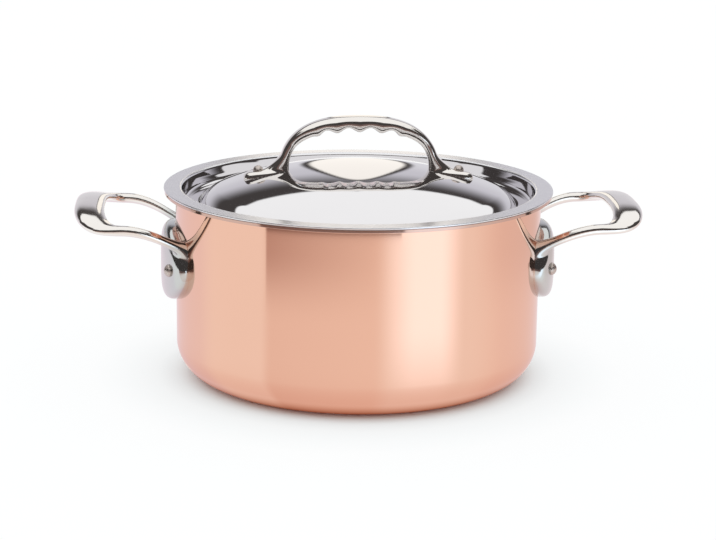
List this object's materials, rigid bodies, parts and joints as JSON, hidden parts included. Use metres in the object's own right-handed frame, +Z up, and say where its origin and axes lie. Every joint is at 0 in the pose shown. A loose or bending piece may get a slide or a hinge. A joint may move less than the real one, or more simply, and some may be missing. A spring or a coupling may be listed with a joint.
{
  "type": "cooking pot",
  "caption": "Straight-sided copper cooking pot with a steel lining, flared lip, cast loop side handles and a lift-off domed lid with a cast loop handle.",
  "frame": {"origin": "middle of the flat base, on the surface that the pot stands on", "axes": "+X towards one side handle, +Y away from the viewer, +Z up"},
  "size_m": [0.3146, 0.217, 0.1462],
  "materials": {
    "copper": "polished copper",
    "lining_steel": "satin stainless steel",
    "lid_steel": "mirror-polished stainless steel",
    "cast_steel": "polished cast stainless steel",
    "rivet_steel": "satin stainless steel"
  },
  "bodies": {
    "pot": {"copper_shell": "copper", "steel_lining": "lining_steel", "left_handle": "cast_steel", "left_front_rivet": "rivet_steel", "left_back_rivet": "rivet_steel", "right_handle": "cast_steel", "right_front_rivet": "rivet_steel", "right_back_rivet": "rivet_steel"},
    "lid": {"lid_plate": "lid_steel", "lid_handle": "cast_steel", "lid_left_rivet": "rivet_steel", "lid_right_rivet": "rivet_steel"}
  },
  "joints": [
    {"name": "lid_lift", "type": "slide", "parent": "pot", "child": "lid", "axis": [0, 0, 1], "range_m": [0, 0.12]}
  ]
}
